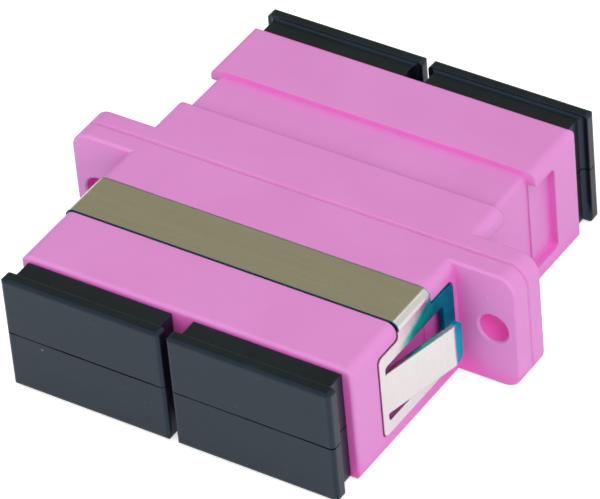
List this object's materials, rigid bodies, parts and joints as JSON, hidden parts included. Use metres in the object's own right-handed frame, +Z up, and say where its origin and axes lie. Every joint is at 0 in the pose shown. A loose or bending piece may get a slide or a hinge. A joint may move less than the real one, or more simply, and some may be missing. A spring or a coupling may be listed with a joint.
{
  "type": "fibre optic adapter",
  "caption": "Flanged duplex fibre optic adapter with square push-pull ports, split alignment sleeves, a sprung steel panel clip and pull-off dust caps.",
  "frame": {"origin": "centre of the flange seam in plan, at the height of the flat bottom", "axes": "+X across the two ports, +Y along the fibre axis from the clip half to the plain half, +Z up through the clip strip"},
  "size_m": [0.0348, 0.0332, 0.0093],
  "materials": {
    "housing": "moulded violet plastic, fine satin",
    "clip_steel": "cold rolled spring steel with a fine grain",
    "cap": "soft black moulded plastic",
    "latch": "natural moulded plastic",
    "sleeve_ceramic": "polished white ceramic"
  },
  "bodies": {
    "adapter": {"housing_front": "housing", "housing_rear": "housing", "panel_clip": "clip_steel", "latch_front_left": "latch", "latch_front_right": "latch", "latch_rear_left": "latch", "latch_rear_right": "latch", "alignment_sleeve_left": "sleeve_ceramic", "alignment_sleeve_right": "sleeve_ceramic"},
    "cap_front_left": {"dust_cap_front_left": "cap"},
    "cap_front_right": {"dust_cap_front_right": "cap"},
    "cap_rear_left": {"dust_cap_rear_left": "cap"},
    "cap_rear_right": {"dust_cap_rear_right": "cap"}
  },
  "joints": [
    {"name": "dust_cap_front_left_pull", "type": "slide", "parent": "adapter", "child": "cap_front_left", "axis": [0, -1, 0], "range_m": [0, 0.016]},
    {"name": "dust_cap_front_right_pull", "type": "slide", "parent": "adapter", "child": "cap_front_right", "axis": [0, -1, 0], "range_m": [0, 0.016]},
    {"name": "dust_cap_rear_left_pull", "type": "slide", "parent": "adapter", "child": "cap_rear_left", "axis": [0, 1, 0], "range_m": [0, 0.016]},
    {"name": "dust_cap_rear_right_pull", "type": "slide", "parent": "adapter", "child": "cap_rear_right", "axis": [0, 1, 0], "range_m": [0, 0.016]}
  ]
}
